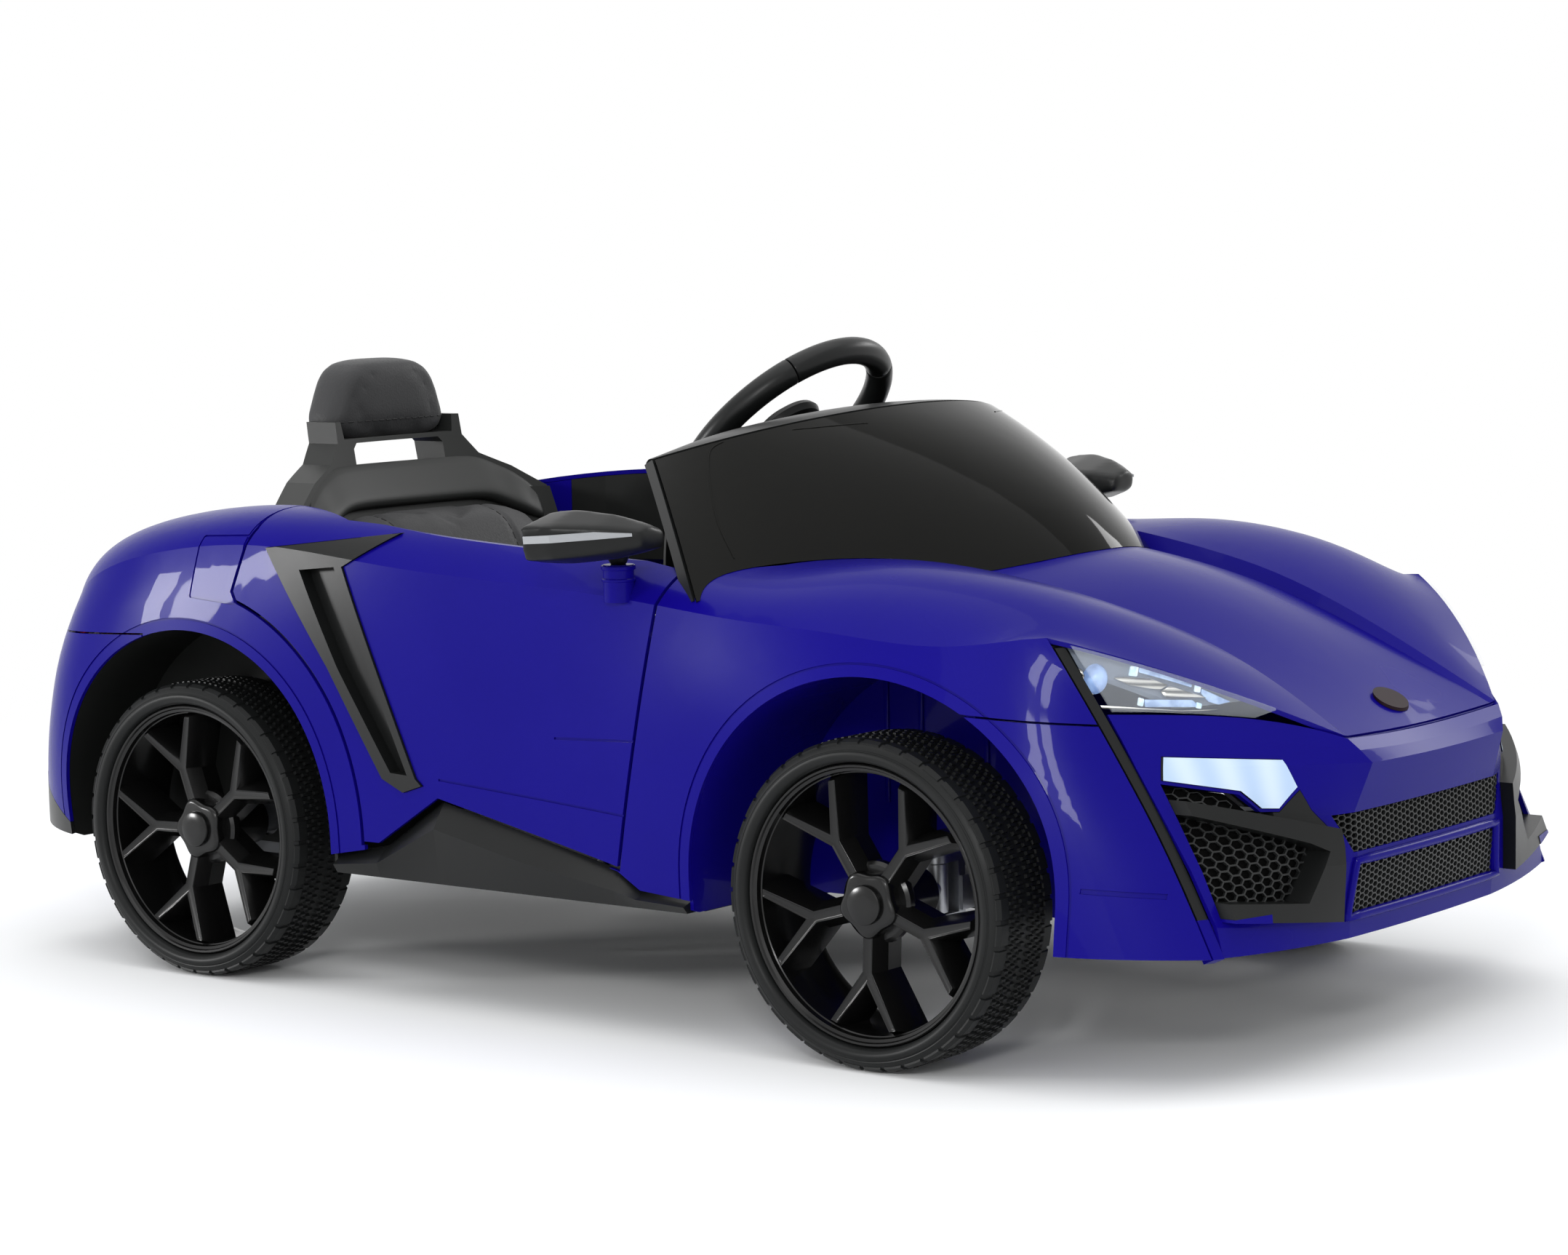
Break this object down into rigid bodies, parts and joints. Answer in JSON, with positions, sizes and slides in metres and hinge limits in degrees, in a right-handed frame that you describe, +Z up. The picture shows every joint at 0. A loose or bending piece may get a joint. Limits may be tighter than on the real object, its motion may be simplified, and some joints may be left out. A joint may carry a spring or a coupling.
{
  "type": "electric ride-on car",
  "caption": "Child's electric ride-on sports car: moulded body, hinged doors, steered front wheels, geared rear wheels, bucket seat, windshield, mirrors and lamps.",
  "frame": {"origin": "on the ground, midway along the length and width", "axes": "+X to the nose, +Y to the car's left, +Z up"},
  "size_m": [1.1557, 0.7272, 0.4882],
  "materials": {
    "body_paint": "high-gloss violet blue",
    "black_trim": "satin black",
    "windshield_trim": "gloss black",
    "dark_glazing": "smoked gloss",
    "clear_glazing": "clear",
    "cabin_black": "fine grained",
    "seat_cover": "soft sheen",
    "bright_reflector": "faceted",
    "lamp_white": "lit white",
    "lamp_red": "clear red",
    "tread_black": "satin black",
    "wheel_black": "semi-gloss black",
    "drive_plastic": "plain",
    "frame_steel": "plain",
    "mirror_pane": "bright",
    "oval_plate": "gloss dark"
  },
  "bodies": {
    "car_body": {"floor_pan": "cabin_black", "front_body_shell": "body_paint", "front_bumper": "body_paint", "rear_body_shell": "body_paint", "rear_bumper": "body_paint", "rear_valance": "black_trim", "side_skirts": "black_trim", "windshield": "dark_glazing", "windshield_cap": "windshield_trim", "dashboard": "cabin_black", "seat_shell": "cabin_black", "seat_pads": "seat_cover", "headlamp_lenses": "clear_glazing", "headlamp_buckets": "bright_reflector", "running_lamps": "lamp_white", "grille_meshes": "black_trim", "intake_frames": "black_trim", "tail_lamps": "lamp_red", "battery": "drive_plastic", "control_box": "drive_plastic", "gearbox_housings": "drive_plastic", "drive_motors": "frame_steel", "rear_axle": "frame_steel", "front_subframe": "frame_steel", "door_hinges": "frame_steel", "front_wheel_liners": "body_paint", "rear_wheel_liners": "cabin_black", "pedal_bracket": "cabin_black", "nose_oval": "oval_plate"},
    "steering": {"steering_wheel": "cabin_black", "steering_column": "frame_steel"},
    "horn": {"horn_button": "cabin_black"},
    "knuckle_right": {"knuckle_right": "frame_steel"},
    "front_wheel_right": {"tyre_front_right": "tread_black", "wheel_front_right": "wheel_black"},
    "rear_wheel_right": {"tyre_rear_right": "tread_black", "wheel_rear_right": "wheel_black", "drive_gear_right": "drive_plastic"},
    "door_right": {"door_panel_right": "body_paint", "door_liner_right": "cabin_black", "vent_trim_right": "black_trim"},
    "mirror_right": {"mirror_housing_right": "black_trim", "mirror_glass_right": "mirror_pane"},
    "knuckle_left": {"knuckle_left": "frame_steel"},
    "front_wheel_left": {"tyre_front_left": "tread_black", "wheel_front_left": "wheel_black"},
    "rear_wheel_left": {"tyre_rear_left": "tread_black", "wheel_rear_left": "wheel_black", "drive_gear_left": "drive_plastic"},
    "door_left": {"door_panel_left": "body_paint", "door_liner_left": "cabin_black", "vent_trim_left": "black_trim"},
    "mirror_left": {"mirror_housing_left": "black_trim", "mirror_glass_left": "mirror_pane"},
    "tie_rod": {"tie_rod": "frame_steel"},
    "pedal": {"accelerator_pedal": "cabin_black"},
    "lever": {"gear_lever": "cabin_black"},
    "button": {"power_button": "lamp_red"}
  },
  "joints": [
    {"name": "steering_turn", "type": "hinge", "parent": "car_body", "child": "steering", "pos_m": [0.28804, 0, 0.13604], "axis": [-0.7071, 0, 0.7071], "range_deg": [-24, 24]},
    {"name": "horn_press", "type": "slide", "parent": "steering", "child": "horn", "axis": [0.7071, 0, -0.7071], "range_m": [0, 0.003], "stiffness_N_per_m": 600, "springref_m": -0.002},
    {"name": "knuckle_right_turn", "type": "hinge", "parent": "car_body", "child": "knuckle_right", "pos_m": [0.298, -0.212, 0.115], "axis": [0, 0, 1], "range_deg": [-24, 24]},
    {"name": "front_wheel_right_spin", "type": "hinge", "parent": "knuckle_right", "child": "front_wheel_right", "pos_m": [0.298, -0.2665, 0.115], "axis": [0, 1, 0], "continuous": true},
    {"name": "rear_wheel_right_spin", "type": "hinge", "parent": "car_body", "child": "rear_wheel_right", "pos_m": [-0.348, -0.2665, 0.115], "axis": [0, 1, 0], "continuous": true},
    {"name": "door_right_swing", "type": "hinge", "parent": "car_body", "child": "door_right", "pos_m": [0.06755, -0.279, 0.2], "axis": [0.1817, 0, 0.9834], "range_deg": [0, 45]},
    {"name": "mirror_right_swivel", "type": "hinge", "parent": "door_right", "child": "mirror_right", "pos_m": [0.08094, -0.288, 0.338], "axis": [0, 0, 1], "range_deg": [-15, 15]},
    {"name": "knuckle_left_turn", "type": "hinge", "parent": "car_body", "child": "knuckle_left", "pos_m": [0.298, 0.212, 0.115], "axis": [0, 0, 1], "range_deg": [-24, 24]},
    {"name": "front_wheel_left_spin", "type": "hinge", "parent": "knuckle_left", "child": "front_wheel_left", "pos_m": [0.298, 0.2665, 0.115], "axis": [0, 1, 0], "continuous": true},
    {"name": "rear_wheel_left_spin", "type": "hinge", "parent": "car_body", "child": "rear_wheel_left", "pos_m": [-0.348, 0.2665, 0.115], "axis": [0, 1, 0], "continuous": true},
    {"name": "door_left_swing", "type": "hinge", "parent": "car_body", "child": "door_left", "pos_m": [0.06755, 0.279, 0.2], "axis": [-0.1817, 0, -0.9834], "range_deg": [0, 45]},
    {"name": "mirror_left_swivel", "type": "hinge", "parent": "door_left", "child": "mirror_left", "pos_m": [0.08094, 0.288, 0.338], "axis": [0, 0, 1], "range_deg": [-15, 15]},
    {"name": "tie_rod_swing", "type": "hinge", "parent": "knuckle_right", "child": "tie_rod", "pos_m": [0.264, -0.212, 0.112], "axis": [0, 0, 1], "range_deg": [-24, 24]},
    {"name": "pedal_press", "type": "hinge", "parent": "car_body", "child": "pedal", "pos_m": [0.09516, -0.09, 0.11], "axis": [0, 1, 0], "range_deg": [0, 14], "stiffness_Nm_per_rad": 0.6, "springref_deg": -17.19},
    {"name": "lever_shift", "type": "hinge", "parent": "car_body", "child": "lever", "pos_m": [0.09774, -0.117, 0.34475], "axis": [0, 1, 0], "range_deg": [-12, 12]},
    {"name": "power_press", "type": "slide", "parent": "car_body", "child": "button", "axis": [1, 0, 0], "range_m": [0, 0.004], "stiffness_N_per_m": 600, "springref_m": -0.002}
  ],
  "couplings": [
    {"joint": "knuckle_right_turn", "follows": "steering_turn", "ratio": 1},
    {"joint": "knuckle_left_turn", "follows": "steering_turn", "ratio": 1},
    {"joint": "tie_rod_swing", "follows": "steering_turn", "ratio": -1}
  ]
}
